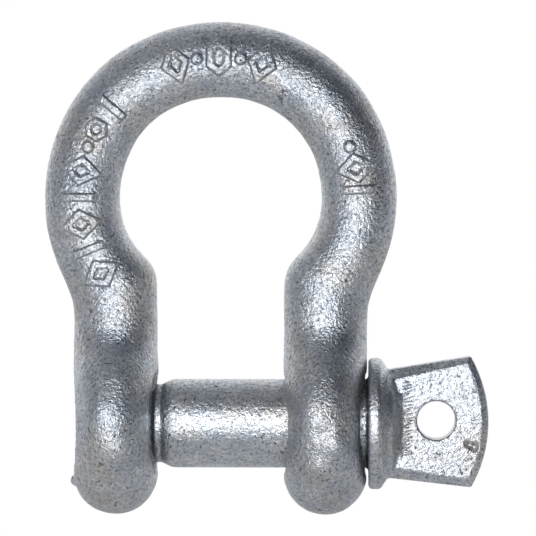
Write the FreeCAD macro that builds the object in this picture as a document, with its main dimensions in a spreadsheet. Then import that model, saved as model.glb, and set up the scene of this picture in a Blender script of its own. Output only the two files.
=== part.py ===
import FreeCAD, Part
import math
import os
import Sketcher
from FreeCAD import Placement, Rotation, Vector

# A forged bow shackle with a screw pin, in millimetres.
# The origin is the middle of the jaw, on the pin's axis. +X runs along the pin to its eye, +Z up to the
# crown of the bow, and +Y through the bow. The shackle is two forgings: the bow, whose left ear takes
# the pin's thread, and the screw pin, which is one piece with its collar and its eye.

DOC = FreeCAD.newDocument("bow_shackle")

# ---------------------------------------------------------------------------------------------------
# Driving dimensions
# ---------------------------------------------------------------------------------------------------

SIZES = {
    # the bow
    "stock_dia": 19.05,          # bar at the crown
    "bow_inside_dia": 50.8,      # inside of the bow
    "leg_straight": 2.12,        # straight of a leg, between its saddle and its shoulder
    "jaw_width": 31.8,           # between the ears
    "ear_thickness": 21.2,       # each ear and its leg, along the pin
    "ear_dia": 46.0,             # each ear, about the pin
    "shoulder_radius": 17.0,     # where the bow bends into a leg, on the bar's centre line
    "saddle_radius": 12.0,       # where a leg flares into its ear
    "hole_clearance": 0.9,       # all round, between the shank and the right ear's hole
    "mouth_flare": 1.4,          # each hole's rolled edge, out past the clear hole all round
    # the pad where the left ear was gripped in forging
    "pad_width": 6.0,
    "pad_height": 3.6,
    "pad_drop": 13.9,            # its middle, below the pin's axis
    "pad_proud": 0.9,
    # the screw pin
    "pin_dia": 22.4,
    "thread_undersize": 0.1,     # thread's crests, in from the shank all round
    "thread_clearance": 0.09,    # all round, between the thread and the bore it leaves by
    "tip_recess": 1.2,           # pin's end, inside the left ear's outer face
    "tip_chamfer": 1.8,
    "neck_depth": 1.5,           # plain neck beside the shank, in from the thread's crests
    "neck_length": 5.0,
    "shank_round": 1.4,          # rounded end of the shank
    "collar_slack": 0.3,         # between the collar and the right ear
    "collar_overlap": 3.1,       # collar's rim, out past the hole's rolled edge all round
    "collar_rim": 3.0,
    "collar_cone": 2.3,          # length of the slope behind the rim
    "hub_step": 2.2,             # where that slope ends, out from the shank all round
    "hub_length": 3.2,
    # the pin's eye
    "eye_tip_width": 33.0,
    "eye_rise": 0.6,             # the tip's middle, above the pin's axis
    "eye_length": 20.5,          # from the collar's back to the corners of the tip
    "eye_crown": 4.4,            # how far the tip's arc stands out past its corners
    "eye_thickness": 11.0,
    "eye_bevel": 2.4,
    "eye_hole_dia": 9.7,
    "eye_hole_place": 11.8,      # from the collar's back
    "eye_hole_rise": 1.0,        # above the pin's axis
    "eye_hole_chamfer": 0.6,
}

sheet = DOC.addObject("Spreadsheet::Sheet", "Sizes")
for row, (alias, value) in enumerate(SIZES.items(), start=1):
    sheet.set(f"A{row}", alias.replace("_", " "))
    sheet.set(f"B{row}", str(value))
    sheet.setAlias(f"B{row}", alias)
DOC.recompute()


def size(alias):
    """The number that the sheet holds under this alias."""
    return float(sheet.get(alias))


def bind(item, **expressions):
    """Binds an object's properties to the sheet; a double underscore in a name stands for a dot."""
    for prop, expression in expressions.items():
        item.setExpression(prop.replace("__", "."), expression)


def s(formula):
    """A formula written with plain aliases, as an expression that reads them from the sheet."""
    for alias in sorted(SIZES, key=len, reverse=True):
        formula = formula.replace(f"[{alias}]", f"Sizes.{alias}")
    return formula


def add(kind, name, **expressions):
    """A document object with its sizes bound to the sheet."""
    item = DOC.addObject(kind, name)
    item.Visibility = False
    bind(item, **{prop: s(formula) for prop, formula in expressions.items()})
    return item


# ---------------------------------------------------------------------------------------------------
# The bow
# ---------------------------------------------------------------------------------------------------
# Each ear is a skin through elliptical sections stacked up the leg. The bar between the two legs is a
# sweep along one path: a straight, the shoulder's bend, the crown's arc, and the same again.

LEG_HALF = "[ear_thickness] / 2"
EAR_X = "([jaw_width] + [ear_thickness]) / 2"
CROWN_RADIUS = "([bow_inside_dia] + [stock_dia]) / 2"
CLEAR_RADIUS = "([pin_dia] / 2 + [hole_clearance])"
MOUTH_RADIUS = f"({CLEAR_RADIUS} + [mouth_flare])"
THREAD_RADIUS = "([pin_dia] / 2 - [thread_undersize])"

leg_half = size("ear_thickness") / 2
ear_radius = size("ear_dia") / 2
ear_x = size("jaw_width") / 2 + leg_half
bar_radius = size("stock_dia") / 2
crown_radius = size("bow_inside_dia") / 2 + bar_radius
shoulder_radius = size("shoulder_radius")
saddle_radius = size("saddle_radius")

# The saddle's bend touches the ear's circle from outside, and the leg's side.
saddle_y = leg_half + saddle_radius
saddle_reach = ear_radius + saddle_radius
saddle_turn = math.acos(saddle_y / saddle_reach)
saddle_foot = ear_radius * math.sin(saddle_turn)
saddle_top = saddle_reach * math.sin(saddle_turn)

# The shoulder's bend touches the leg's straight line, and the crown's circle from outside.
shoulder_x = ear_x + shoulder_radius
shoulder_z = saddle_top + size("leg_straight")
shoulder_reach = crown_radius + shoulder_radius
shoulder_turn = math.acos(shoulder_x / shoulder_reach)
crown_z = shoulder_z + shoulder_reach * math.sin(shoulder_turn)

FOOT_FLAT = math.radians(-86.5)   # the ear's lowest section, a small flat, stands for this angle
EAR_ANGLES = [-80, -72, -62, -51, -40, -28, -15, 0, 14, 28, 40]
SADDLE_SHARES = [0, 0.3, 0.65, 1]
HAUNCH_ANGLE = 10                 # where the bar has thinned from the leg to the crown


def section(name, x, z, tilt, half_width, half_depth):
    """An elliptical wire across the bar, its long axis along Y; tilt turns it about Y."""
    wire = add("Part::Ellipse", name)
    turn = Rotation(Vector(0, 1, 0), tilt) * Rotation(Vector(0, 0, 1), 90)
    wire.Placement = Placement(Vector(0, 0, 0), turn)
    bind(wire, MajorRadius=s(half_depth), MinorRadius=s(half_width))
    bind(wire, Placement__Base__x=s(x), Placement__Base__z=s(z))
    return wire


def ear_sections(side, sign):
    """The sections of one ear, from its foot to the top of its saddle."""
    x = f"{sign} * {EAR_X}"
    radius = "[ear_dia] / 2"
    wires = []

    def ear_section(z_over_radius, depth_over_radius, z=None):
        """Across the round part of the ear, whose foot is a half round of the leg's own radius."""
        below = leg_half - ear_radius * (1 + z_over_radius)
        half = LEG_HALF
        if below > 0:
            half = f"sqrt(({LEG_HALF})^2 - ({LEG_HALF} - {radius} * {1 + z_over_radius:.12f})^2)"
        name = f"{side}_ear_section_{len(wires)}"
        depth = f"{radius} * {depth_over_radius:.12f}"
        wires.append(section(name, x, z or f"{radius} * {z_over_radius:.12f}", 0, half, depth))

    ear_section(math.sin(FOOT_FLAT), math.cos(FOOT_FLAT), z=f"-{radius}")
    for angle in EAR_ANGLES:
        ear_section(math.sin(math.radians(angle)), math.cos(math.radians(angle)))
    for share in SADDLE_SHARES:
        z = saddle_foot + share * (saddle_top - saddle_foot)
        depth = saddle_y - math.sqrt(saddle_radius ** 2 - (saddle_top - z) ** 2)
        name = f"{side}_ear_section_{len(wires)}"
        wires.append(section(name, x, f"{z:.12f}", 0, LEG_HALF, f"{depth:.12f}"))
    return wires


def skin(name, wires):
    """A smooth solid through these sections."""
    loft = add("Part::Loft", name)
    loft.Sections = wires
    loft.Solid = True
    loft.Ruled = False
    loft.MaxDegree = 3
    return loft


def bar_path():
    """The bar's centre line from the top of the left leg's saddle, over the crown, to the right leg's."""

    def shoulder_point(share):
        turn = share * shoulder_turn
        x = shoulder_x - shoulder_radius * math.cos(turn)
        return Vector(x, 0, shoulder_z + shoulder_radius * math.sin(turn))

    def mirrored(point):
        return Vector(-point.x, 0, point.z)

    start = Vector(ear_x, 0, saddle_top)
    bend, middle, haunch = [shoulder_point(share) for share in (0, 0.5, 1)]
    top = Vector(0, 0, crown_z + crown_radius)
    edges = [
        Part.makeLine(mirrored(start), mirrored(bend)),
        Part.Arc(mirrored(bend), mirrored(middle), mirrored(haunch)).toShape(),
        Part.Arc(mirrored(haunch), top, haunch).toShape(),
        Part.Arc(haunch, middle, bend).toShape(),
        Part.makeLine(bend, start),
    ]
    path = DOC.addObject("Part::Feature", "bar_path")
    path.Shape = Part.Wire(edges)
    path.Visibility = False
    return path


def crown_section(name, angle, half):
    """Across the crown's arc, at this angle about its centre from +X."""
    x = f"({CROWN_RADIUS}) * {math.cos(math.radians(angle)):.12f}"
    z = f"{crown_z:.12f} + ({CROWN_RADIUS}) * {math.sin(math.radians(angle)):.12f}"
    return section(name, x, z, 180 - angle, half, half)


def make_bow():
    left_wires = ear_sections("left", -1)
    right_wires = ear_sections("right", 1)
    turn = math.degrees(shoulder_turn)
    bar_half = "[stock_dia] / 2"
    bar_wires = [
        left_wires[-1],
        crown_section("left_shoulder_section", 180 + turn, LEG_HALF),
        crown_section("left_haunch_section", 180 - HAUNCH_ANGLE, bar_half),
        crown_section("crown_section", 90, bar_half),
        crown_section("right_haunch_section", HAUNCH_ANGLE, bar_half),
        crown_section("right_shoulder_section", -turn, LEG_HALF),
        section("right_leg_section", EAR_X, f"{saddle_top:.12f}", 180, LEG_HALF, LEG_HALF),
    ]
    bar = add("Part::Sweep", "bar")
    bar.Sections = bar_wires
    path = bar_path()
    bar.Spine = (path, [f"Edge{n}" for n in range(1, len(path.Shape.Edges) + 1)])
    bar.Solid = True
    bar.Frenet = True

    face = "[jaw_width] / 2 + [ear_thickness]"
    pad = add(
        "Part::Box", "forging_pad",
        Length="2 * [pad_proud] + [ear_thickness] / 4",
        Width="[pad_width]",
        Height="[pad_height]",
        Placement__Base__x=f"-({face}) - [pad_proud]",
        Placement__Base__y="-[pad_width] / 2",
        Placement__Base__z="-[pad_drop] - [pad_height] / 2",
    )
    blank = DOC.addObject("Part::MultiFuse", "bow_blank")
    blank.Shapes = [skin("left_ear", left_wires), bar, skin("right_ear", right_wires), pad]
    blank.Visibility = False

    bow = DOC.addObject("Part::Cut", "bow")
    bow.Base = blank
    bow.Tool = ear_holes()
    bow.Label = "bow"
    return bow


def along_pin(kind, name, start, **expressions):
    """A round cutter whose axis is the pin's, starting at this x."""
    item = add(kind, name, **expressions)
    item.Placement = Placement(Vector(0, 0, 0), Rotation(Vector(0, 1, 0), 90))
    bind(item, Placement__Base__x=s(start))
    return item


def ear_holes():
    """The right ear's clear hole and the left ear's bore, each with a 45 degree mouth at both ends."""
    bores = {
        "right": (CLEAR_RADIUS, "[jaw_width] / 2"),
        "left": (f"({THREAD_RADIUS} + [thread_clearance])", "-[jaw_width] / 2 - [ear_thickness]"),
    }
    over = 2    # how far each cutter runs on past the ear
    cutters = []
    for side, (radius, near) in bores.items():
        far = f"{near} + [ear_thickness]"
        slope = f"({MOUTH_RADIUS} - {radius})"
        cutters.append(along_pin(
            "Part::Cylinder", f"{side}_bore", f"{near} - {over}",
            Radius=radius, Height=f"[ear_thickness] + {2 * over}",
        ))
        cutters.append(along_pin(
            "Part::Cone", f"{side}_near_mouth", f"{near} - {over}",
            Radius1=f"{MOUTH_RADIUS} + {over}", Radius2=radius, Height=f"{slope} + {over}",
        ))
        cutters.append(along_pin(
            "Part::Cone", f"{side}_far_mouth", f"{far} - {slope}",
            Radius1=radius, Radius2=f"{MOUTH_RADIUS} + {over}", Height=f"{slope} + {over}",
        ))
    holes = DOC.addObject("Part::MultiFuse", "ear_holes")
    holes.Shapes = cutters
    holes.Visibility = False
    return holes


# ---------------------------------------------------------------------------------------------------
# The screw pin
# ---------------------------------------------------------------------------------------------------
# A turned profile from the thread's tip to the collar and its hub, with the flat eye padded behind it.

EAR_FACE = "([jaw_width] / 2 + [ear_thickness])"
TIP = f"-{EAR_FACE} + [tip_recess]"
SHANK_START = "-[jaw_width] / 2"
THREAD_END = f"{SHANK_START} - [neck_length]"
COLLAR_FACE = f"{EAR_FACE} + [collar_slack]"
RIM_END = f"{COLLAR_FACE} + [collar_rim]"
COLLAR_BACK = f"{RIM_END} + [collar_cone]"
COLLAR_RADIUS = f"{MOUTH_RADIUS} + [collar_overlap]"
HUB_RADIUS = "[pin_dia] / 2 + [hub_step]"


def value(formula):
    """What a formula written with plain aliases comes to."""
    return float(sheet.evalExpression(s(formula)))


def new_sketch(body, name, role="XZ_Plane"):
    """A sketch on one of the body's own base planes."""
    sketch = body.newObject("Sketcher::SketchObject", name)
    plane = next(item for item in body.Origin.OriginFeatures if item.Role == role)
    sketch.AttachmentSupport = (plane, [""])
    sketch.MapMode = "FlatFace"
    sketch.Visibility = False
    return sketch


def hold(sketch, kind, *where, formula, name):
    """A named dimension of a sketch, bound to the sheet."""
    sketch.addConstraint(Sketcher.Constraint(kind, *where, value(formula)))
    sketch.renameConstraint(sketch.ConstraintCount - 1, name)
    sketch.setExpression(f"Constraints.{name}", s(formula))


def outline(sketch, points, arc_after=None, arc_top=None, arc_radius=None):
    """Closes the points, given as formulas, with lines, and with one arc after the point named."""
    places = [Vector(value(x), value(y), 0) for x, y in points]
    for n, start in enumerate(places):
        end = places[(n + 1) % len(places)]
        if n == arc_after:
            sketch.addGeometry(Part.Arc(start, Vector(*map(value, arc_top), 0), end), False)
        else:
            sketch.addGeometry(Part.LineSegment(start, end), False)
    # An arc runs anticlockwise whichever way it is drawn, so its ends are told apart by their place.
    ends = []
    for n, start in enumerate(places):
        first = sketch.getPoint(n, 1).distanceToPoint(start) < 1e-6
        ends.append((1, 2) if first else (2, 1))
    for n, (x, y) in enumerate(points):
        after = (n + 1) % len(points)
        sketch.addConstraint(Sketcher.Constraint("Coincident", n, ends[n][1], after, ends[after][0]))
        hold(sketch, "DistanceX", -1, 1, n, ends[n][0], formula=x, name=f"x{n}")
        hold(sketch, "DistanceY", -1, 1, n, ends[n][0], formula=y, name=f"y{n}")
    if arc_radius:
        hold(sketch, "Radius", arc_after, formula=arc_radius, name="arc_radius")


def edges_where(feature, test):
    """The names of a feature's edges that pass a test."""
    return [f"Edge{n}" for n, edge in enumerate(feature.Shape.Edges, start=1) if test(edge)]


def dress(body, kind, name, base, test, **expressions):
    """A fillet or chamfer on the edges of the body's last feature that pass a test."""
    DOC.recompute()
    edges = edges_where(base, test)
    feature = body.newObject(kind, name)
    feature.Base = (base, edges)
    bind(feature, **{prop: s(formula) for prop, formula in expressions.items()})
    return feature


def ring_at(x, radius):
    """A test for the round edge of this radius about the pin's axis at this x."""

    def test(edge):
        curve = edge.Curve
        if not isinstance(curve, Part.Circle) or abs(curve.Radius - radius) > 0.01:
            return False
        return abs(curve.Center.x - x) < 0.01 and abs(curve.Axis.x) > 0.99

    return test


def make_pin():
    body = DOC.addObject("PartDesign::Body", "screw_pin")
    body.Label = "screw_pin"

    flat = new_sketch(body, "eye_outline")
    tip_x = f"{COLLAR_BACK} + [eye_length]"
    chord = "[eye_tip_width] / 2"
    outline(
        flat,
        [
            (RIM_END, f"-({HUB_RADIUS})"),
            (tip_x, "[eye_rise] - [eye_tip_width] / 2"),
            (tip_x, "[eye_rise] + [eye_tip_width] / 2"),
            (RIM_END, HUB_RADIUS),
        ],
        arc_after=1,
        arc_top=(f"{tip_x} + [eye_crown]", "[eye_rise]"),
        arc_radius=f"(({chord})^2 + [eye_crown]^2) / (2 * [eye_crown])",
    )
    eye = body.newObject("PartDesign::Pad", "eye")
    eye.Profile = flat
    eye.Midplane = True
    bind(eye, Length=s("[eye_thickness]"))
    DOC.recompute()

    half_thickness = size("eye_thickness") / 2
    root = value(RIM_END)

    def rim_of_eye(edge):
        box = edge.BoundBox
        on_face = abs(abs(box.Center.y) - half_thickness) < 0.01 and box.YLength < 0.01
        return on_face and box.XMax > root + 1

    dress(body, "PartDesign::Chamfer", "eye_bevel", eye, rim_of_eye, Size="[eye_bevel]")

    profile = new_sketch(body, "turned_profile")
    outline(profile, [
        (TIP, "0"),
        (TIP, f"{THREAD_RADIUS} - [tip_chamfer]"),
        (f"{TIP} + [tip_chamfer]", THREAD_RADIUS),
        (THREAD_END, THREAD_RADIUS),
        (f"{THREAD_END} + [neck_depth]", f"{THREAD_RADIUS} - [neck_depth]"),
        (SHANK_START, f"{THREAD_RADIUS} - [neck_depth]"),
        (SHANK_START, "[pin_dia] / 2"),
        (COLLAR_FACE, "[pin_dia] / 2"),
        (COLLAR_FACE, COLLAR_RADIUS),
        (RIM_END, COLLAR_RADIUS),
        (COLLAR_BACK, HUB_RADIUS),
        (f"{COLLAR_BACK} + [hub_length]", "[eye_thickness] / 2"),
        (f"{COLLAR_BACK} + [hub_length]", "0"),
    ])
    turned = body.newObject("PartDesign::Revolution", "turned")
    turned.Profile = profile
    turned.ReferenceAxis = (profile, ["H_Axis"])
    turned.Angle = 360

    hole_sketch = new_sketch(body, "eye_hole_outline")
    centre = Vector(value(f"{COLLAR_BACK} + [eye_hole_place]"), size("eye_hole_rise"), 0)
    hole_sketch.addGeometry(Part.Circle(centre, Vector(0, 0, 1), size("eye_hole_dia") / 2), False)
    hold(hole_sketch, "DistanceX", -1, 1, 0, 3, formula=f"{COLLAR_BACK} + [eye_hole_place]", name="x")
    hold(hole_sketch, "DistanceY", -1, 1, 0, 3, formula="[eye_hole_rise]", name="y")
    hold(hole_sketch, "Radius", 0, formula="[eye_hole_dia] / 2", name="radius")
    hole = body.newObject("PartDesign::Pocket", "eye_hole")
    hole.Profile = hole_sketch
    hole.Type = "ThroughAll"
    hole.Midplane = True

    def mouth_of_hole(edge):
        return isinstance(edge.Curve, Part.Circle) and abs(edge.Curve.Axis.y) > 0.99 \
            and abs(edge.Curve.Radius - size("eye_hole_dia") / 2) < 0.01

    chamfer = dress(
        body, "PartDesign::Chamfer", "eye_hole_chamfer", hole, mouth_of_hole,
        Size="[eye_hole_chamfer]",
    )
    dress(
        body, "PartDesign::Fillet", "shank_round", chamfer,
        ring_at(value(SHANK_START), size("pin_dia") / 2),
        Radius="min([shank_round]; 0.9 * ([thread_undersize] + [neck_depth]))",
    )
    return body


# ---------------------------------------------------------------------------------------------------
# Checking and writing
# ---------------------------------------------------------------------------------------------------

bow = make_bow()
pin = make_pin()
DOC.recompute()
for item in DOC.Objects:
    if "Invalid" in item.State or "Error" in item.State:
        raise RuntimeError(f"{item.Name} failed: {item.State}")
os.makedirs("parts", exist_ok=True)
for item in (bow, pin):
    shape = item.Shape
    if shape.isNull() or not shape.isValid() or len(shape.Solids) != 1:
        raise RuntimeError(f"{item.Label} is not one sound solid")
    shape.exportStep(f"parts/{item.Label}.step")
    print(f"{item.Label}: {shape.Volume:.0f} mm3, {len(shape.Faces)} faces")
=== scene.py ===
import bpy
import math
import random
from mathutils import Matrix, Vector


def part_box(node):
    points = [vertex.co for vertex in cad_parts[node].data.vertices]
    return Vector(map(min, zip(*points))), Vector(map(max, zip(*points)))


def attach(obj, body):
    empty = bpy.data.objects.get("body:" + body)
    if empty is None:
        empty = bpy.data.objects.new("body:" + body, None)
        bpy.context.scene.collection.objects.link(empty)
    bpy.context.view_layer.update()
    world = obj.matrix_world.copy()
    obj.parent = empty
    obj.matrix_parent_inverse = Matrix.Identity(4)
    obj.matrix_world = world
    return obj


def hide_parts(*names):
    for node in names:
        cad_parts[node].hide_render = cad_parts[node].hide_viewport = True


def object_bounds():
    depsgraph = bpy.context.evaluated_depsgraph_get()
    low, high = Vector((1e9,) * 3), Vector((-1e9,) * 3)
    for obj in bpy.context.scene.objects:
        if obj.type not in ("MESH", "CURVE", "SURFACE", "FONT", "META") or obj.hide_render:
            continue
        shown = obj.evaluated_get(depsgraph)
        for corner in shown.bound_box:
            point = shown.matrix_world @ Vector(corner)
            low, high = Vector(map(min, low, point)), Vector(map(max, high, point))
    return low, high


# A galvanised bow shackle: the forged bow and its screw pin, modelled at their real size around the
# CAD frame. Pieces are shaped in millimetres and brought to metres when they are finished.

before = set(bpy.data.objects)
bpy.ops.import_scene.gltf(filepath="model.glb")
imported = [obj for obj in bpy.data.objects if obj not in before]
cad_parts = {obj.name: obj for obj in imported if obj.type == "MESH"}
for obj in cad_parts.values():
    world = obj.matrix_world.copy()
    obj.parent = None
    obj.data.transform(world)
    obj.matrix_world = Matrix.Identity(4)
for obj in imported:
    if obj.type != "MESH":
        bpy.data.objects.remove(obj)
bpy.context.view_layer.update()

MM = 0.001

# ---------------------------------------------------------------------------------------------------
# Sizes in millimetres
# ---------------------------------------------------------------------------------------------------

bow_low, bow_high = (Vector(corner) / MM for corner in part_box("bow"))
pin_low, pin_high = (Vector(corner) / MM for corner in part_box("screw_pin"))

BAR_RADIUS = 9.53                    # the bar at the crown
JAW_HALF = 15.9                      # half the gap between the ears
EAR_THICKNESS = 21.2
EAR_FACE = JAW_HALF + EAR_THICKNESS  # the ears' outer faces
EAR_RADIUS = -bow_low.z              # an ear is round about the pin, down to the lowest point
LEG_RADIUS = EAR_THICKNESS / 2
EAR_X = JAW_HALF + LEG_RADIUS
CROWN_RADIUS = bow_high.x - BAR_RADIUS
CROWN_Z = bow_high.z - BAR_RADIUS - CROWN_RADIUS
SHOULDER_RADIUS = 17.0
SADDLE_RADIUS = 12.0

CLEAR_HOLE_RADIUS = 12.1
MOUTH_RADIUS = 13.3                  # the clear hole's rolled edges
TAPPED_MOUTH_RADIUS = 13.4
MOUTH_DEPTH = 2.9
CUT_OVER = 4                         # how far a hole's cutter stands out of the ear
ROUND_CORNERS = 96                   # round a turned piece or a hole
THREAD_RADIUS = 11.1
THREAD_PITCH = 2.822
THREAD_ROOT = THREAD_RADIUS - 1.5
THREAD_CREST_HALF = 0.10             # half widths of the ridge, in pitches
THREAD_FOOT_HALF = 0.42
THREAD_STEPS = 72                    # to one turn
THREAD_SUNK = 0.4                    # how deep the pin's ridge is set in its core
EAR_THREAD_RADIUS = 11.22            # crests of the ear's thread, just clear of the pin's
THREAD_BORE_RADIUS = 12.3
EAR_THREAD_SUNK = 0.5                # how deep the ear's ridge is set in its bore
EAR_THREAD_START = -EAR_FACE + 3.2
EAR_THREAD_END = -JAW_HALF - 4.4

PIN_RADIUS = 11.2
PIN_TIP = pin_low.x
THREAD_END = -20.9
SHANK_START = -14.6
NECK_RADIUS = 9.9
RELIEF_END = -16.4                   # the thread's run-out groove, beside the neck
RELIEF_RADIUS = 8.3
COLLAR_FACE = 37.4
COLLAR_RADIUS = 16.6
RIM_END = 40.4
COLLAR_BACK = 42.7
HUB_RADIUS = 13.4
EYE_CORNER_X = 63.2
EYE_TIP_X = pin_high.x
EYE_RISE = 0.6
EYE_ROOT_HALF = 13.4
EYE_TIP_HALF = 16.5
EYE_HALF_THICKNESS = 5.5
EYE_FACE_START = 46.0                # where the root's slope has come down to the cheeks
EYE_DRAFT_WIDTH = 2.8                # sloping bands along the eye's top and foot
EYE_DRAFT_DROP = 1.4
EYE_HOLE = (54.5, 1.0)               # x and z of its middle
EYE_HOLE_RADIUS = 4.85
EYE_EDGE_BEVEL = 1.5
EYE_TIP_CORNERS = 256                # round the whole circle the tip is part of
EYE_HOLE_CORNERS = 64
EYE_DRILL_LENGTH = 40
EYE_SHARP_EDGE = math.radians(60)
EYE_ROOT_SLOPE = 0.12                # how the root's top and foot fall away towards the tip

# How fine each piece's skin is when it is remeshed.
FUSE_VOXEL = 0.55
BOW_VOXEL = 0.56
MARK_VOXEL = 0.22
PIN_VOXEL = 0.35
RUN_VOXEL = 0.13

SAME_TILT = 1e-9                     # tilts no further apart than this are the same

# ---------------------------------------------------------------------------------------------------
# Modelling helpers
# ---------------------------------------------------------------------------------------------------


def fresh():
    """Object mode with nothing selected."""
    if bpy.context.object and bpy.context.object.mode != "OBJECT":
        bpy.ops.object.mode_set(mode="OBJECT")
    bpy.ops.object.select_all(action="DESELECT")


def pick(*objects):
    """Selects these objects, the first one active."""
    fresh()
    for item in objects:
        item.select_set(True)
    bpy.context.view_layer.objects.active = objects[0]


def apply_modifier(item, name, kind, **settings):
    """Adds a modifier of this kind with these settings, and applies it at once."""
    pick(item)
    modifier = item.modifiers.new(name, kind)
    for key, value in settings.items():
        setattr(modifier, key, value)
    bpy.ops.object.modifier_apply(modifier=modifier.name)


def join(name, *objects):
    """Joins these objects into the first one, under this name."""
    pick(*objects)
    bpy.ops.object.join()
    objects[0].name = name
    return objects[0]


def ring_at(name, place, half_x, half_y, corners):
    """A filled ring lying across Z, ready in edit mode to be drawn out into a bar."""
    fresh()
    bpy.ops.mesh.primitive_circle_add(vertices=corners, radius=1, fill_type="NGON", location=place)
    ring = bpy.context.object
    ring.name = name
    bpy.ops.object.mode_set(mode="EDIT")
    bpy.ops.mesh.select_all(action="SELECT")
    bpy.ops.transform.resize(value=(half_x, half_y, 1), center_override=place)
    return ring


class Bar:
    """A bar drawn out ring by ring: each step extrudes the end ring, turns it and resizes it."""

    def __init__(self, name, place, half_x, half_y, corners):
        self.item = ring_at(name, place, half_x, half_y, corners)
        self.place = Vector(place)
        self.tilt = 0.0
        self.half = (half_x, half_y)

    def draw_to(self, place, half_x, half_y, tilt=0.0):
        """Draws the bar on to a ring here, of this size and turned this far about Y."""
        place = Vector(place)
        bpy.ops.mesh.extrude_region_move(TRANSFORM_OT_translate={"value": place - self.place})
        if abs(tilt - self.tilt) > SAME_TILT:
            # with no window open, transform.rotate turns the other way
            bpy.ops.transform.rotate(
                value=self.tilt - tilt, orient_axis="Y", center_override=place)
        ratio_x, ratio_y = half_x / self.half[0], half_y / self.half[1]
        # a tilted ring leans out of its level plane, so its height changes with its width
        bpy.ops.transform.resize(
            value=(ratio_x, ratio_y, ratio_x if tilt else 1), center_override=place)
        self.place, self.tilt, self.half = place, tilt, (half_x, half_y)

    def finish(self):
        """The bar as an object, its faces all looking out."""
        bpy.ops.mesh.select_all(action="SELECT")
        bpy.ops.mesh.normals_make_consistent(inside=False)
        fresh()
        return self.item


def turned(name, stations):
    """A closed round piece along X through these (x, radius) stations."""
    x, radius = stations[0]
    bar = Bar(name, (0, 0, x), radius, radius, ROUND_CORNERS)
    for x, radius in stations[1:]:
        bar.draw_to((0, 0, x), radius, radius)
    piece = bar.finish()
    pick(piece)
    bpy.ops.object.transform_apply(location=True, rotation=True, scale=True)
    piece.rotation_euler = (0, math.pi / 2, 0)
    bpy.ops.object.transform_apply(location=False, rotation=True, scale=False)
    return piece


def lump(place, size, turn=0.0):
    """A stretched ball; joined on it is a lump, and cut away it is a dent. It turns about Y."""
    fresh()
    bpy.ops.mesh.primitive_ico_sphere_add(
        subdivisions=3, radius=1, location=place, scale=size, rotation=(0, turn, 0))
    piece = bpy.context.object
    bpy.ops.object.transform_apply(location=True, rotation=True, scale=True)
    return piece


def boolean(piece, operation, tool):
    """Joins the tool to the piece, or cuts it away from it, and the tool is used up."""
    apply_modifier(
        piece, operation, "BOOLEAN", operation=operation, object=tool, solver="MANIFOLD")
    bpy.data.objects.remove(tool)


def block(name, centre, size, turn=(0, 0, 0), bevel=0.0):
    """A box, its edges broken by a bevel if one is given."""
    fresh()
    bpy.ops.mesh.primitive_cube_add(size=1, location=centre, scale=size, rotation=turn)
    piece = bpy.context.object
    piece.name = name
    if bevel:
        bpy.ops.object.transform_apply(location=False, rotation=False, scale=True)
        bpy.ops.object.mode_set(mode="EDIT")
        bpy.ops.mesh.select_all(action="SELECT")
        bpy.ops.mesh.bevel(offset=bevel, segments=3, affect="EDGES")
        bpy.ops.object.mode_set(mode="OBJECT")
    return piece


def roughen(piece, name, size, depth):
    """Moves the skin in and out along its normals by soft noise of this grain."""
    clouds = bpy.data.textures.new(name, "CLOUDS")
    clouds.noise_scale = size
    clouds.noise_depth = 2
    apply_modifier(
        piece, name, "DISPLACE", texture=clouds, strength=depth, texture_coords="LOCAL")


def forge(piece, voxel, passes):
    """Remeshes a piece to one closed skin, and smooths it so that its edges are rounded off."""
    apply_modifier(piece, "forge", "REMESH", mode="VOXEL", voxel_size=voxel)
    apply_modifier(piece, "settle", "SMOOTH", factor=0.5, iterations=passes)


def coax(piece, place, pull, reach):
    """Moves the skin nearest to a place, and less and less of that about it out to this reach."""
    pick(piece)
    skin = piece.data.vertices
    nearest = min(skin, key=lambda corner: (corner.co - Vector(place)).length_squared).index
    bpy.ops.object.mode_set(mode="EDIT")
    bpy.ops.mesh.select_mode(type="VERT")
    bpy.ops.mesh.select_all(action="DESELECT")
    bpy.ops.object.mode_set(mode="OBJECT")
    piece.data.vertices[nearest].select = True
    bpy.ops.object.mode_set(mode="EDIT")
    bpy.ops.transform.translate(
        value=pull, use_proportional_edit=True, proportional_edit_falloff="SMOOTH",
        proportional_size=reach)
    bpy.ops.object.mode_set(mode="OBJECT")


def to_metres(piece):
    """Puts a piece's place and size in its mesh, in metres, with its object at the origin."""
    pick(piece)
    bpy.ops.object.transform_apply(location=True, rotation=True, scale=True)
    bpy.ops.object.mode_set(mode="EDIT")
    bpy.ops.mesh.select_all(action="SELECT")
    bpy.ops.transform.resize(value=(MM, MM, MM), center_override=(0, 0, 0))
    bpy.ops.object.mode_set(mode="OBJECT")
    bpy.ops.object.shade_smooth()
    fresh()


# ---------------------------------------------------------------------------------------------------
# The bow
# ---------------------------------------------------------------------------------------------------
# The bar is followed up the right leg and over the crown, and the left side is its mirror image.
# Across the bow it is bounded by an outer and an inner outline; through the bow it has a depth.

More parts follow.
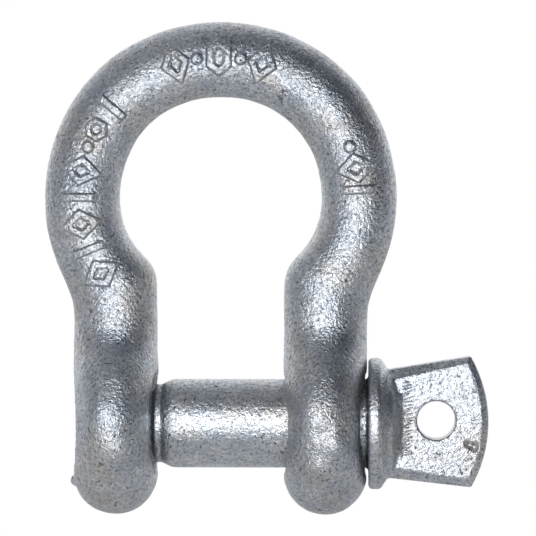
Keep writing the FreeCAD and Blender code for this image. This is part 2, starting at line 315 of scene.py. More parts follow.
SHOULDER_TURN = math.acos((EAR_X + SHOULDER_RADIUS) / (CROWN_RADIUS + SHOULDER_RADIUS))
SHOULDER_Z = CROWN_Z - (CROWN_RADIUS + SHOULDER_RADIUS) * math.sin(SHOULDER_TURN)
SADDLE_TURN = math.acos((LEG_RADIUS + SADDLE_RADIUS) / (EAR_RADIUS + SADDLE_RADIUS))
SADDLE_TOP = (EAR_RADIUS + SADDLE_RADIUS) * math.sin(SADDLE_TURN)
OUTER_BEND = 22.0                    # soft hollow outside the shoulder
INNER_BEND = 5.0                     # sharper knuckle inside it
INNER_LEG_X = 16.1
INNER_HAUNCH = 20.5                  # radius of the inside between the knuckle and the crown
KNUCKLE_TURN = math.radians(47)
EAR_BLUNTNESS = 0.4                  # how much squarer an ear's section is than an oval
EAR_BLUNT_OVER = 14.0                # height over which the ear's section squares up
SMALLEST_SECTION = 0.5               # a section smaller than this is left as it is
AT_CENTRE = 1e-6                     # a point this near its section's middle has no direction
CROWN_SQUARE = 0.45                  # how far the crown's corners stand out of a true circle
CROWN_DEPTH_FROM = 6                 # height over the crown's middle where the bar has its own depth
BAR_CORNERS = 48
EAR_RING_DEGREES = [-89] + list(range(-84, 44, 6))  # an ear's rings, about the pin
LEG_RING_STEP = 1.8
SHOULDER_RINGS, CROWN_RINGS = 5, 26
MEET_REACH, MEET_HALVINGS = 20, 40


def outer_x(z):
    """The outer outline below the crown's middle."""
    radius = CROWN_RADIUS + BAR_RADIUS
    reach = radius + OUTER_BEND
    bend_x = EAR_FACE + OUTER_BEND
    bend_z = CROWN_Z - math.sqrt(reach ** 2 - bend_x ** 2)
    touch_z = CROWN_Z - (CROWN_Z - bend_z) * radius / reach
    if z >= touch_z:
        return math.sqrt(radius ** 2 - (CROWN_Z - z) ** 2)
    if z >= bend_z:
        return bend_x - math.sqrt(OUTER_BEND ** 2 - (z - bend_z) ** 2)
    return EAR_FACE


def inner_x(z):
    """The inner outline below the crown's middle."""
    haunch_x = CROWN_RADIUS - BAR_RADIUS - INNER_HAUNCH
    end_x = haunch_x + INNER_HAUNCH * math.cos(KNUCKLE_TURN)
    end_z = CROWN_Z - INNER_HAUNCH * math.sin(KNUCKLE_TURN)
    knuckle_x = INNER_LEG_X + INNER_BEND
    start_x = knuckle_x - INNER_BEND * math.cos(KNUCKLE_TURN)
    start_z = end_z - (end_x - start_x) / math.tan(KNUCKLE_TURN)
    knuckle_z = start_z - INNER_BEND * math.sin(KNUCKLE_TURN)
    if z >= end_z:
        return haunch_x + math.sqrt(INNER_HAUNCH ** 2 - (CROWN_Z - z) ** 2)
    if z >= start_z:
        return start_x + (z - start_z) * math.tan(KNUCKLE_TURN)
    if z >= knuckle_z:
        return knuckle_x - math.sqrt(INNER_BEND ** 2 - (z - knuckle_z) ** 2)
    share = max(z / knuckle_z, 0)
    return JAW_HALF + share * (INNER_LEG_X - JAW_HALF)


def meet(outline, centre, across):
    """How far from the centre, along this direction, the outline lies; found by halving."""
    near, far = 0.0, MEET_REACH
    for _ in range(MEET_HALVINGS):
        middle = (near + far) / 2
        point = centre + across * middle
        inside = (point.x < outline(point.z)) == (across.x > 0)
        near, far = (middle, far) if inside else (near, middle)
    return near


def ear_half_thickness(z):
    """Half an ear along the pin: its foot is a half round of the leg's own radius."""
    below = LEG_RADIUS - EAR_RADIUS - z
    return LEG_RADIUS if below <= 0 else math.sqrt(max(LEG_RADIUS ** 2 - below ** 2, 0))


def ear_half_depth(z):
    """Half an ear through the bow: a circle about the pin, then the saddle, then the leg."""
    if z >= SADDLE_TOP:
        return LEG_RADIUS
    if z > EAR_RADIUS * math.sin(SADDLE_TURN):
        saddle_y = LEG_RADIUS + SADDLE_RADIUS
        return saddle_y - math.sqrt(SADDLE_RADIUS ** 2 - (SADDLE_TOP - z) ** 2)
    return math.sqrt(EAR_RADIUS ** 2 - z ** 2)


def right_half():
    """The bar from the right ear's foot to the crown's top: centre, half across, half deep, tilt."""
    rings = []
    for degrees in EAR_RING_DEGREES:
        z = EAR_RADIUS * math.sin(math.radians(degrees))
        rings.append((Vector((EAR_X, 0, z)), ear_half_thickness(z), ear_half_depth(z), 0.0))
    z = rings[-1][0].z
    while z + LEG_RING_STEP < SHOULDER_Z:
        z += LEG_RING_STEP
        outer, inner = outer_x(z), inner_x(z)
        centre = Vector(((outer + inner) / 2, 0, z))
        rings.append((centre, (outer - inner) / 2, ear_half_depth(z), 0.0))
    path = []
    for step in range(SHOULDER_RINGS):
        turn = SHOULDER_TURN * step / SHOULDER_RINGS
        x = EAR_X + SHOULDER_RADIUS * (1 - math.cos(turn))
        path.append((Vector((x, 0, SHOULDER_Z + SHOULDER_RADIUS * math.sin(turn))), turn))
    for step in range(CROWN_RINGS + 1):
        angle = -SHOULDER_TURN + step / CROWN_RINGS * (math.pi / 2 + SHOULDER_TURN)
        outward = Vector((math.cos(angle), 0, math.sin(angle)))
        centre = outward * CROWN_RADIUS + Vector((0, 0, CROWN_Z))
        path.append((centre, -angle))
    for centre, tilt in path:
        across = Vector((math.cos(tilt), 0, -math.sin(tilt)))
        if centre.z < CROWN_Z:
            out = meet(outer_x, centre, across)
            back = meet(inner_x, centre, -across)
        else:
            corner = CROWN_SQUARE * math.sin(2 * tilt) ** 2
            out, back = BAR_RADIUS + corner, BAR_RADIUS - corner
        rise = CROWN_Z + CROWN_DEPTH_FROM - SHOULDER_Z
        share = min(max((centre.z - SHOULDER_Z) / rise, 0), 1)
        depth = LEG_RADIUS + share * (BAR_RADIUS - LEG_RADIUS)
        rings.append((centre + across * (out - back) / 2, (out + back) / 2, depth, tilt))
    return rings


def blunt_ear(point, swell):
    """Squares a point of an ear's oval section a little, so that the ear's nose is blunter."""
    x, y, z = point.co
    share = min(max((SADDLE_TOP - z) / EAR_BLUNT_OVER, 0), 1)
    share *= share * (3 - 2 * share)
    half_x, half_y = ear_half_thickness(z) + swell, ear_half_depth(z) + swell
    if share == 0 or min(half_x, half_y) < SMALLEST_SECTION:
        return
    side = math.copysign(1, x)
    across, deep = (abs(x) - EAR_X) / half_x, y / half_y
    power = 2 / (2 + EAR_BLUNTNESS * share)
    reach = math.hypot(across, deep)
    if reach < AT_CENTRE:
        return
    across, deep = (
        reach * math.copysign(abs(part / reach) ** power, part) for part in (across, deep))
    point.co.x, point.co.y = side * (EAR_X + across * half_x), deep * half_y


def forged_bar(name, swell=0.0):
    """The whole bar as one closed skin; swell makes it stouter all round by that much."""
    half = right_half()
    up = [(Vector((-c.x, 0, c.z)), across, deep, -tilt) for c, across, deep, tilt in half]
    down = [(c, across, deep, math.pi + tilt) for c, across, deep, tilt in half[-2::-1]]
    place, across, deep, tilt = up[0]
    bar = Bar(name, place, across + swell, deep + swell, BAR_CORNERS)
    for place, across, deep, tilt in up[1:] + down:
        bar.draw_to(place, across + swell, deep + swell, tilt)
    piece = bar.finish()
    pick(piece)
    bpy.ops.object.transform_apply(location=True, rotation=True, scale=True)
    for point in piece.data.vertices:
        blunt_ear(point, swell)
    return piece


# ---- marks raised in forging --------------------------------------------------------------------

MARK_PROUD = 1.25                    # height over the bar
MARK_FOOT = 0.55                     # height of the wider foot
MARK_SPREAD = 0.45                   # how much wider the foot is all round
MARK_SUNK = 1.0                      # how deep a mark reaches into the bar
MARK_REACH = 14                      # from the bar's middle plane to well in front of it


def mark_prism(corners, radius, stroke, place, turn, spread, squeeze=1.0, spin=0.0):
    """A hollow shape, or a solid one if it has no stroke, drawn out through the bar's front."""
    fresh()
    bpy.ops.mesh.primitive_circle_add(
        vertices=corners, radius=radius, fill_type="NGON", location=(0, 0, 0),
        rotation=(0, 0, math.radians(spin)))
    prism = bpy.context.object
    bpy.ops.object.transform_apply(location=False, rotation=True, scale=False)
    bpy.ops.object.mode_set(mode="EDIT")
    bpy.ops.mesh.select_all(action="SELECT")
    wider = spread / radius
    bpy.ops.transform.resize(value=(squeeze + wider, 1 + wider, 1), center_override=(0, 0, 0))
    if stroke:
        bpy.ops.mesh.inset(thickness=stroke + 2 * spread, depth=0)
        bpy.ops.mesh.delete(type="FACE")
        bpy.ops.mesh.select_all(action="SELECT")
    bpy.ops.mesh.extrude_region_move(TRANSFORM_OT_translate={"value": (0, 0, MARK_REACH)})
    bpy.ops.mesh.select_all(action="SELECT")
    bpy.ops.mesh.normals_make_consistent(inside=False)
    bpy.ops.object.mode_set(mode="OBJECT")
    prism.rotation_euler = (math.pi / 2, turn, 0)
    prism.location = place
    return prism


def bow_marks(spread):
    """Plain shapes where the die marks the bar: over the crown, up the left side, at the right."""
    hexagon = dict(corners=6, radius=4.7, stroke=1.6, squeeze=0.72)
    lozenge = dict(corners=4, radius=5.1, stroke=1.5, squeeze=0.72)
    small_hexagon = dict(corners=6, radius=2.9, stroke=1.15)
    dot = dict(corners=20, radius=1.3, stroke=0)
    bar = dict(corners=4, radius=5.6, stroke=0, squeeze=0.22, spin=45)
    crown = [(108, lozenge), (99, dot), (90, hexagon), (81, dot), (72, lozenge)]
    left = [
        (213, lozenge), (202, bar), (191, lozenge), (180, bar), (169, lozenge),
        (159, dot), (151, small_hexagon), (140, bar),
    ]
    right = [(21, dot), (12, lozenge), (3, bar)]
    prisms = []
    for degrees, shape in crown + left + right:
        angle = math.radians(degrees)
        place = (CROWN_RADIUS * math.cos(angle), 0, CROWN_Z + CROWN_RADIUS * math.sin(angle))
        prisms.append(mark_prism(place=place, turn=math.pi / 2 - angle, spread=spread, **shape))
    return join("bow_marks", *prisms)


def mark_layer(spread, proud):
    """The marks, wider all round by the spread, from inside the bar up to this height over it."""
    layer = bow_marks(spread)
    boolean(layer, "INTERSECT", forged_bar("mark_limit", swell=proud))
    boolean(layer, "DIFFERENCE", forged_bar("mark_bed", swell=-MARK_SUNK))
    return layer


def make_marks():
    """The raised marks, standing out of the front of the bar with sloping sides."""
    marks = join("bow_marks", mark_layer(MARK_SPREAD, MARK_FOOT), mark_layer(0, MARK_PROUD))
    forge(marks, MARK_VOXEL, 3)
    roughen(marks, "mark_wear", 1.4, 0.16)
    to_metres(marks)
    return marks


# ---- holes through the ears ----------------------------------------------------------------------


def spool(name, radius, mouth, near, far):
    """A cutter along X, a little wider where it leaves the ear's domed faces."""
    flare = mouth - radius
    stations = [
        (near - CUT_OVER, mouth), (near + MOUTH_DEPTH, mouth),
        (near + MOUTH_DEPTH + flare, radius), (far - MOUTH_DEPTH - flare, radius),
        (far - MOUTH_DEPTH, mouth), (far + CUT_OVER, mouth),
    ]
    return turned(name, stations)


# ---- threads ------------------------------------------------------------------------------------


def wound_ridge(name, crest, root, start, end):
    """A blunt V ridge wound about the pin's axis between these stations."""
    fresh()
    bpy.ops.mesh.primitive_plane_add(size=2, location=(0, 0, 0))
    ridge = bpy.context.object
    ridge.name = name
    bpy.ops.object.mode_set(mode="EDIT")
    bpy.ops.mesh.delete(type="ONLY_FACE")
    bpy.ops.object.mode_set(mode="OBJECT")
    for corner in ridge.data.vertices:
        at_crest = corner.co.y > 0
        half = THREAD_PITCH * (THREAD_CREST_HALF if at_crest else THREAD_FOOT_HALF)
        corner.co = (
            start + THREAD_PITCH / 2 + math.copysign(half, corner.co.x), 0,
            crest if at_crest else root)
    turns = int((end - start) / THREAD_PITCH - 1)
    apply_modifier(
        ridge, "wind", "SCREW", axis="X", angle=math.tau, screw_offset=THREAD_PITCH,
        iterations=turns, steps=THREAD_STEPS, render_steps=THREAD_STEPS,
        use_merge_vertices=False)
    pick(ridge)
    bpy.ops.object.mode_set(mode="EDIT")
    bpy.ops.mesh.select_mode(type="EDGE")
    bpy.ops.mesh.select_all(action="DESELECT")
    bpy.ops.mesh.select_non_manifold()
    bpy.ops.mesh.fill_holes(sides=4)
    bpy.ops.mesh.select_all(action="SELECT")
    bpy.ops.mesh.normals_make_consistent(inside=False)
    bpy.ops.mesh.select_mode(type="VERT")
    fresh()
    return ridge


def ear_thread_piece():
    """The left ear's thread, one closed coil lining its bore."""
    coil = wound_ridge(
        "ear_thread", EAR_THREAD_RADIUS, THREAD_BORE_RADIUS + EAR_THREAD_SUNK,
        EAR_THREAD_START, EAR_THREAD_END)
    to_metres(coil)
    return coil


# ---- the whole bow -------------------------------------------------------------------------------

# The small forging pad on the left ear.
PAD_PLACE = (-EAR_FACE + 0.6, 0, -13.9)
PAD_SIZE = (3.0, 6.0, 3.6)
PAD_BEVEL = 0.5
# Where the ears' fronts are drawn out or pressed in: the place, the pull and its reach.
EAR_PULLS = (
    ((23.0, -23.0, 5.0), (-0.3, -0.9, 0), 8.0),
    ((29.5, -20.5, -5.0), (0.3, -1.0, 0), 5.5),
    ((25.0, -20.0, -11.0), (0, -0.8, -0.2), 5.0),
    ((26.5, -22.0, -1.5), (0, 0.5, 0), 3.5),
    ((-28.5, -23.0, 3.0), (-0.2, -0.8, 0), 8.0),
    ((-25.5, -22.0, -6.0), (0, -0.7, 0), 7.0),
)


def make_bow():
    """The forging: the bar and its pad fused, bored, worked on at the ears, and roughened."""
    bow = forged_bar("forged_bow")
    apply_modifier(bow, "round", "SUBSURF", levels=1, render_levels=1)
    pad = block("grip_pad", PAD_PLACE, PAD_SIZE, bevel=PAD_BEVEL)
    bow = join("forged_bow", bow, pad)
    pick(bow)
    bpy.ops.object.transform_apply(location=True, rotation=True, scale=True)
    apply_modifier(bow, "fuse", "REMESH", mode="VOXEL", voxel_size=FUSE_VOXEL)
    clear_hole = spool("clear_hole", CLEAR_HOLE_RADIUS, MOUTH_RADIUS, JAW_HALF, EAR_FACE)
    boolean(bow, "DIFFERENCE", clear_hole)
    tapped_hole = spool(
        "tapped_hole", THREAD_BORE_RADIUS, TAPPED_MOUTH_RADIUS, -EAR_FACE, -JAW_HALF)
    boolean(bow, "DIFFERENCE", tapped_hole)
    forge(bow, BOW_VOXEL, 4)
    for place, pull, reach in EAR_PULLS:
        coax(bow, place, pull, reach)
    roughen(bow, "hammering", 9.0, 0.35)
    roughen(bow, "zinc_lumps", 1.6, 0.10)
    to_metres(bow)
    return bow


# ---------------------------------------------------------------------------------------------------
# The screw pin
# ---------------------------------------------------------------------------------------------------

# Dents in the eye's front cheek: the place, the size and the turn.
EYE_DENTS = (
    ((62.6, -6.0, -5.0), (1.5, 1.5, 0.9), 0.5),
    ((63.9, -6.0, -5.7), (1.3, 1.7, 1.1), 0.1),
    ((46.5, -6.2, -6.3), (1.1, 1.3, 0.6), 0.3),
    ((64.0, -5.9, 4.4), (0.5, 0.8, 0.5), 0.0),
)
# The scraped flat along the shank's foot.
SCRAPE_PLACE = (-0.4, -2.75, -12.8)
SCRAPE_SIZE = (12.0, 9.0, 4.0)
SCRAPE_TURN = (-math.radians(12), 0, 0)


def pin_blank():
    """The turned part of the pin, from its pointed thread to the hub behind the collar."""
    return turned("screw_pin_forging", [
        (PIN_TIP, THREAD_ROOT - 1.2), (PIN_TIP + 0.6, THREAD_ROOT - 0.3),
        (PIN_TIP + 1.2, THREAD_ROOT), (THREAD_END, THREAD_ROOT),
        (THREAD_END + 0.6, RELIEF_RADIUS), (RELIEF_END - 0.3, RELIEF_RADIUS),
        (RELIEF_END, NECK_RADIUS), (SHANK_START, NECK_RADIUS),
        (SHANK_START + 0.2, PIN_RADIUS - 1.1), (SHANK_START + 1.3, PIN_RADIUS - 0.5),
        (SHANK_START + 2.3, PIN_RADIUS - 0.12), (SHANK_START + 3.1, PIN_RADIUS),
        (COLLAR_FACE - 0.6, PIN_RADIUS),
        (COLLAR_FACE, PIN_RADIUS + 0.4), (COLLAR_FACE, COLLAR_RADIUS - 0.8),
        (COLLAR_FACE + 0.25, COLLAR_RADIUS - 0.25), (COLLAR_FACE + 0.9, COLLAR_RADIUS),
        (RIM_END - 0.4, COLLAR_RADIUS), (RIM_END + 0.3, COLLAR_RADIUS - 0.4),
        (COLLAR_BACK - 0.5, HUB_RADIUS + 0.5), (COLLAR_BACK, HUB_RADIUS),
        (COLLAR_BACK + 0.8, HUB_RADIUS - 0.5), (COLLAR_BACK + 2.4, EYE_HALF_THICKNESS + 2.2),
        (COLLAR_BACK + 3.4, EYE_HALF_THICKNESS - 0.5),
        (COLLAR_BACK + 4.0, EYE_HALF_THICKNESS - 1.0),
    ])


def cut(point, normal):
    """In edit mode, cuts the piece on a plane and caps it; the side the normal points to goes."""
    bpy.ops.mesh.select_all(action="SELECT")
    bpy.ops.mesh.bisect(plane_co=point, plane_no=normal, use_fill=True, clear_outer=True)


def eye_plate():
    """The flat eye: a plate that widens to a curved tip, with drafted edges round its two cheeks."""
    length = EYE_CORNER_X - RIM_END
    sagitta = EYE_TIP_X - EYE_CORNER_X
    tip_radius = (EYE_TIP_HALF ** 2 + sagitta ** 2) / (2 * sagitta)
    fresh()
    bpy.ops.mesh.primitive_cylinder_add(
        vertices=EYE_TIP_CORNERS, radius=tip_radius, depth=2 * EYE_HALF_THICKNESS,
        location=(EYE_TIP_X - tip_radius, 0, EYE_RISE), rotation=(math.pi / 2, 0, 0))
    plate = bpy.context.object
    bpy.ops.object.transform_apply(location=True, rotation=True, scale=True)
    bpy.ops.object.mode_set(mode="EDIT")
    bpy.ops.mesh.select_all(action="DESELECT")
    bpy.ops.mesh.select_mode(type="EDGE")
    bpy.ops.mesh.edges_select_sharp(sharpness=EYE_SHARP_EDGE)
    bpy.ops.mesh.bevel(offset=EYE_EDGE_BEVEL, segments=1, affect="EDGES")
    cut((RIM_END, 0, 0), (-1, 0, 0))
    for side in (1, -1):
        rise = side * (EYE_TIP_HALF - EYE_ROOT_HALF) + EYE_RISE
        along = Vector((length, 0, rise)).normalized()
        outward = Vector((-along.z, 0, along.x)) * side
        edge = Vector((RIM_END, 0, side * EYE_ROOT_HALF))
        cut(edge, outward)
        for front in (1, -1):
            cheek = Vector((0, front * EYE_HALF_THICKNESS, 0))
            lean = Vector((0, front * EYE_DRAFT_WIDTH, 0))
            cut(edge - outward * EYE_DRAFT_WIDTH + cheek, outward * EYE_DRAFT_DROP + lean)
    fresh()
    return plate


def eye_root():
    """The forged root of the eye: round like the hub, and sloped down to the plate's cheeks."""
    root = turned("eye_root", [
        (RIM_END, HUB_RADIUS + 0.6), (COLLAR_BACK + 0.4, HUB_RADIUS + 0.5),
        (EYE_FACE_START, HUB_RADIUS + 0.2),
    ])
    pick(root)
    bpy.ops.object.mode_set(mode="EDIT")
    slope = Vector((HUB_RADIUS - EYE_HALF_THICKNESS, EYE_FACE_START - COLLAR_BACK, 0))
    for front in (1, -1):
        foot = Vector((EYE_FACE_START, front * EYE_HALF_THICKNESS, 0))
        cut(foot, Vector((slope.x, front * slope.y, 0)))
        cut((0, 0, front * (HUB_RADIUS - 0.5)), (EYE_ROOT_SLOPE, 0, front))
    fresh()
    return root


def make_pin():
    """The forging: blank, root and plate fused, the eye pierced, dents cut in, the thread put on."""
    pin = pin_blank()
    boolean(pin, "UNION", eye_root())
    boolean(pin, "UNION", eye_plate())
    x, z = EYE_HOLE
    fresh()
    bpy.ops.mesh.primitive_cylinder_add(
        vertices=EYE_HOLE_CORNERS, radius=EYE_HOLE_RADIUS, depth=EYE_DRILL_LENGTH,
        location=(x, 0, z), rotation=(math.pi / 2, 0, 0))
    boolean(pin, "DIFFERENCE", bpy.context.object)
    for place, size, turn in EYE_DENTS:
        boolean(pin, "DIFFERENCE", lump(place, size, turn))
    boolean(pin, "DIFFERENCE", block("scrape", SCRAPE_PLACE, SCRAPE_SIZE, turn=SCRAPE_TURN))
    thread = wound_ridge(
        "thread", THREAD_RADIUS, THREAD_ROOT - THREAD_SUNK, PIN_TIP + 0.8, THREAD_END)
    pin = join("screw_pin_forging", pin, thread)
    forge(pin, PIN_VOXEL, 3)
    roughen(pin, "zinc_lumps_pin", 1.3, 0.05)
    to_metres(pin)
    return pin


# ---- zinc runs on the eye -----------------------------------------------------------------------

RUN_COUNT = 23
RUN_SEED = 19
RUN_FOOT_Z = -7.6
RUN_STEP = 0.83
RUN_SUNK = 0.15                      # how far inside the cheek's face a ridge's middle lies
RUN_HALF_HEIGHT, RUN_HALF_WIDTH = 0.55, 0.27


def make_zinc_runs():
    """The comb of small zinc ridges down the root edge of the eye's front cheek."""
    random.seed(RUN_SEED)
    ridges = []
    for row in range(RUN_COUNT):
        reach = random.uniform(1.1, 2.0)
        stray = random.uniform(-0.12, 0.12)
        turn = random.uniform(-0.45, -0.1)
        place = (
            EYE_FACE_START + reach * 0.7, RUN_SUNK - EYE_HALF_THICKNESS,
            RUN_FOOT_Z + row * RUN_STEP + stray)
        ridges.append(lump(place, (reach, RUN_HALF_HEIGHT, RUN_HALF_WIDTH), turn))
    runs = join("zinc_runs", *ridges)
    forge(runs, RUN_VOXEL, 2)
    to_metres(runs)
    return runs


# ---------------------------------------------------------------------------------------------------
# Building, materials, light
# ---------------------------------------------------------------------------------------------------

bow = make_bow()
marks = make_marks()
ear_thread = ear_thread_piece()
pin = make_pin()
zinc_runs = make_zinc_runs()
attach(bow, "bow")
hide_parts("bow")
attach(marks, "bow")
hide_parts("bow")
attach(ear_thread, "bow")
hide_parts("bow")
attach(pin, "screw_pin")
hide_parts("screw_pin")
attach(zinc_runs, "screw_pin")
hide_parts("screw_pin")


# ---- the zinc coat -------------------------------------------------------------------------------

WHITE = (1, 1, 1, 1)
BLUISH_ZINC = (0.65, 0.69, 0.74, 1)
PALE_ZINC = (0.88, 0.89, 0.90, 1)
WARM_ZINC = (0.74, 0.69, 0.62, 1)
MOTTLE_GREY = (0.30, 0.33, 0.37, 1)
SPECK_GREY = (0.10, 0.11, 0.13, 1)
PIT_GREY = (0.10, 0.10, 0.11, 1)
NOISE_ROUGHNESS = 0.6
BUMP_DISTANCE = 0.0002               # metres of relief for a height of 1


def noise_mask(tree, coordinates, scale, low, high, detail=3.0):
    """A noise, stretched so that it runs from 0 at low to 1 at high."""
    noise = tree.nodes.new("ShaderNodeTexNoise")
    noise.inputs["Scale"].default_value = scale
    noise.inputs["Detail"].default_value = detail
    noise.inputs["Roughness"].default_value = NOISE_ROUGHNESS
    tree.links.new(coordinates, noise.inputs["Vector"])
    stretch = tree.nodes.new("ShaderNodeMapRange")
    stretch.inputs["From Min"].default_value = low
    stretch.inputs["From Max"].default_value = high
    tree.links.new(noise.outputs["Fac"], stretch.inputs["Value"])
    return stretch.outputs["Result"]


def blend(tree, mask, first, second):
    """Mixes two colours, each a value or a socket, by a mask."""
    mix = tree.nodes.new("ShaderNodeMix")
    mix.data_type = "RGBA"
    feed(tree, mix.inputs[0], mask)
    feed(tree, mix.inputs[6], first)
    feed(tree, mix.inputs[7], second)
    return mix.outputs[2]


def feed(tree, socket, given):
    """Links a socket to another, or gives it a value."""
    if isinstance(given, bpy.types.NodeSocket):
        tree.links.new(given, socket)
    else:
        socket.default_value = given


def arithmetic(tree, operation, *given):
    """One sum, each of its terms a value or a socket."""
    node = tree.nodes.new("ShaderNodeMath")
    node.operation = operation
    for socket, value in zip(node.inputs, given):
        feed(tree, socket, value)
    return node.outputs[0]


def galvanised_group():
    """Hot-dip zinc: its mottled grey, how rough it is, and the height of its grain.

    The noises are in object coordinates, so their scales are to the metre.
    """
    group = bpy.data.node_groups.new("Galvanised Coat", "ShaderNodeTree")
    sockets = group.interface
    sockets.new_socket("Coordinates", in_out="INPUT", socket_type="NodeSocketVector")
    sockets.new_socket("Grain", in_out="INPUT", socket_type="NodeSocketFloat")
    sockets.new_socket("Dullness", in_out="INPUT", socket_type="NodeSocketFloat")
    sockets.new_socket("Colour", in_out="OUTPUT", socket_type="NodeSocketColor")
    sockets.new_socket("Roughness", in_out="OUTPUT", socket_type="NodeSocketFloat")
    sockets.new_socket("Height", in_out="OUTPUT", socket_type="NodeSocketFloat")
    given = group.nodes.new("NodeGroupInput")
    result = group.nodes.new("NodeGroupOutput")
    place, grain = given.outputs["Coordinates"], given.outputs["Grain"]

    patches = noise_mask(group, place, 140, 0.35, 0.65)
    mottle = noise_mask(group, place, 1100, 0.3, 0.7)
    specks = noise_mask(group, place, 1700, 0.58, 0.70, detail=1)
    pits = noise_mask(group, place, 420, 0.66, 0.74, detail=2)
    warm = noise_mask(group, place, 90, 0.45, 0.7)

    colour = blend(group, patches, BLUISH_ZINC, PALE_ZINC)
    colour = blend(group, warm, colour, WARM_ZINC)
    for mask, strength, grey in (
            (mottle, 0.8, MOTTLE_GREY), (specks, 0.85, SPECK_GREY), (pits, 0.7, PIT_GREY)):
        colour = blend(group, arithmetic(group, "MULTIPLY", mask, strength), colour, grey)
    group.links.new(colour, result.inputs["Colour"])

    dull = arithmetic(group, "MULTIPLY_ADD", mottle, 0.14, given.outputs["Dullness"])
    dull = arithmetic(group, "MULTIPLY_ADD", patches, 0.06, dull)
    group.links.new(arithmetic(group, "MULTIPLY_ADD", pits, 0.3, dull), result.inputs["Roughness"])

    fine = noise_mask(group, place, 2600, 0.2, 0.8, detail=2)
    coarse = noise_mask(group, place, 1150, 0.2, 0.8, detail=2)
    height = arithmetic(group, "MULTIPLY_ADD", fine, 0.4, coarse)
    height = arithmetic(group, "MULTIPLY", height, grain)
    height = arithmetic(group, "SUBTRACT", height, arithmetic(group, "MULTIPLY", pits, 0.8))
    group.links.new(height, result.inputs["Height"])
    return group


def zinc_material(name, group, grain, dullness, bump):
    """Bare metal under the zinc coat, with this much grain, dullness and relief."""
    material = bpy.data.materials.new(name)
    material.use_nodes = True
    tree = material.node_tree
    shader = tree.nodes["Principled BSDF"]
    shader.inputs["Metallic"].default_value = 1.0
    coordinates = tree.nodes.new("ShaderNodeTexCoord")
    coat = tree.nodes.new("ShaderNodeGroup")
    coat.node_tree = group
    coat.inputs["Grain"].default_value = grain
    coat.inputs["Dullness"].default_value = dullness
    tree.links.new(coordinates.outputs["Object"], coat.inputs["Coordinates"])
    tree.links.new(coat.outputs["Colour"], shader.inputs["Base Color"])
    tree.links.new(coat.outputs["Roughness"], shader.inputs["Roughness"])
    relief = tree.nodes.new("ShaderNodeBump")
    relief.inputs["Strength"].default_value = bump
    relief.inputs["Distance"].default_value = BUMP_DISTANCE
    tree.links.new(coat.outputs["Height"], relief.inputs["Height"])
    tree.links.new(relief.outputs["Normal"], shader.inputs["Normal"])
    return material


coat = galvanised_group()
bow_zinc = zinc_material("galvanised_bow", coat, grain=1.0, dullness=0.28, bump=1.0)
pin_zinc = zinc_material("galvanised_pin", coat, grain=0.85, dullness=0.28, bump=0.8)
for piece, material in (
        (bow, bow_zinc), (marks, bow_zinc), (ear_thread, bow_zinc), (pin, pin_zinc),
        (zinc_runs, pin_zinc)):
    piece.data.materials.clear()
    piece.data.materials.append(material)


# ---- floor, studio light and camera ---------------------------------------------------------------

FLOOR_GREY = (0.55, 0.55, 0.56, 1)
DIM_ROOM = (0.045, 0.055, 0.075, 1)
LEFT_OF_ROOM = (0.28, 0.29, 0.32, 1)
SWEEP_BEHIND = (1.20, 1.21, 1.23, 1)


def paper_material():
    """White to the camera; to everything else, a matt grey that glows a little."""
    paper = bpy.data.materials.new("white_floor")
    paper.use_nodes = True
    tree = paper.node_tree
    matt = tree.nodes["Principled BSDF"]
    matt.inputs["Base Color"].default_value = FLOOR_GREY
    matt.inputs["Roughness"].default_value = 0.9
    matt.inputs["Emission Color"].default_value = WHITE
    matt.inputs["Emission Strength"].default_value = 0.28
    white = tree.nodes.new("ShaderNodeEmission")
    white.inputs["Color"].default_value = WHITE
    white.inputs["Strength"].default_value = 1.0
    path = tree.nodes.new("ShaderNodeLightPath")
    choice = tree.nodes.new("ShaderNodeMixShader")
    tree.links.new(path.outputs["Is Camera Ray"], choice.inputs["Fac"])
    tree.links.new(matt.outputs["BSDF"], choice.inputs[1])
    tree.links.new(white.outputs["Emission"], choice.inputs[2])
    tree.links.new(choice.outputs["Shader"], tree.nodes["Material Output"].inputs["Surface"])
    return paper


fresh()
# the finished pieces hang a little lower than the CAD, so the floor is set under them
bpy.ops.mesh.primitive_plane_add(size=6, location=(0, 0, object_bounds()[0][2]))
floor = bpy.context.object
floor.name = "floor"
floor.data.materials.append(paper_material())


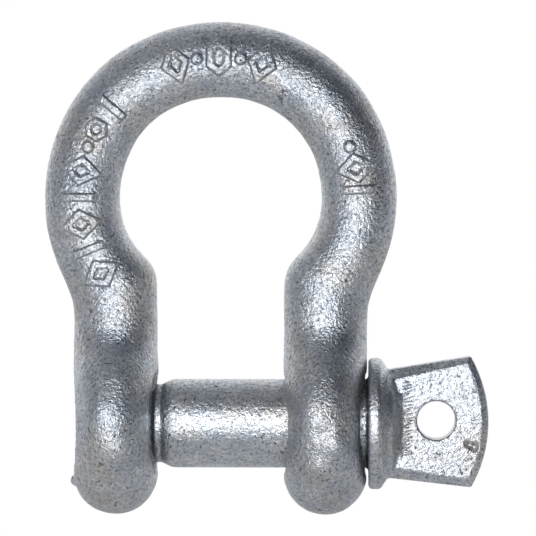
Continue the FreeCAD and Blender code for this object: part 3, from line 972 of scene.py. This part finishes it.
def studio_world():
    """White to the camera; to the metal, a pale sweep behind and a dim room about the front."""
    world = bpy.data.worlds.new("studio")
    world.use_nodes = True
    tree = world.node_tree
    coordinates = tree.nodes.new("ShaderNodeTexCoord")
    split = tree.nodes.new("ShaderNodeSeparateXYZ")
    tree.links.new(coordinates.outputs["Generated"], split.inputs[0])
    behind = tree.nodes.new("ShaderNodeMapRange")
    behind.interpolation_type = "SMOOTHSTEP"
    behind.inputs["From Min"].default_value = 0.12
    behind.inputs["From Max"].default_value = 0.85
    tree.links.new(split.outputs["Y"], behind.inputs["Value"])
    left = tree.nodes.new("ShaderNodeMapRange")
    left.interpolation_type = "SMOOTHSTEP"
    left.inputs["From Min"].default_value = 0.35
    left.inputs["From Max"].default_value = -0.95
    tree.links.new(split.outputs["X"], left.inputs["Value"])
    room = blend(tree, left.outputs["Result"], DIM_ROOM, LEFT_OF_ROOM)
    around = blend(tree, behind.outputs["Result"], room, SWEEP_BEHIND)
    path = tree.nodes.new("ShaderNodeLightPath")
    seen = blend(tree, path.outputs["Is Camera Ray"], around, WHITE)
    tree.links.new(seen, tree.nodes["Background"].inputs["Color"])
    return world


def softbox(name, place, aim, size, power, colour=(1, 1, 1), spread=180):
    """A square soft light at this place, facing its aim, its beam this many degrees wide."""
    data = bpy.data.lights.new(name, "AREA")
    data.size = size
    data.energy = power
    data.color = colour
    data.spread = math.radians(spread)
    lamp = bpy.data.objects.new(name, data)
    bpy.context.scene.collection.objects.link(lamp)
    lamp.location = place
    lamp.rotation_euler = (Vector(aim) - Vector(place)).to_track_quat("-Z", "Y").to_euler()
    lamp.visible_camera = False


scene = bpy.context.scene
scene.world = studio_world()
scene.view_settings.view_transform = "Standard"
softbox(
    "front_light", (-0.035, -0.30, 0.04), aim=(0.005, 0, 0.006), size=0.16, power=0.080,
    colour=(0.97, 0.98, 1), spread=68)
softbox(
    "eye_light", (0.085, -0.30, 0.0), aim=(0.055, 0, 0), size=0.09, power=0.13,
    colour=(0.95, 0.97, 1))
softbox("top_light", (-0.1, -0.05, 0.7), aim=(0, 0, 0.03), size=0.5, power=0.2)

camera_data = bpy.data.cameras.new("camera")
camera = bpy.data.objects.new("camera", camera_data)
scene.collection.objects.link(camera)
scene.camera = camera
camera_data.lens = 212.2
azimuth = math.radians(2)
distance = 0.80
view_x, view_z = 0.0120, 0.0393      # the middle of the view, level with the camera
camera.location = (
    view_x + distance * math.sin(azimuth), -distance * math.cos(azimuth), view_z)
camera.rotation_euler = (math.pi / 2, 0, azimuth)

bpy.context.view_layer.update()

for piece in (bow, marks, ear_thread, pin, zinc_runs):
    piece.data.calc_loop_triangles()
    print(piece.name, len(piece.data.loop_triangles), "triangles")
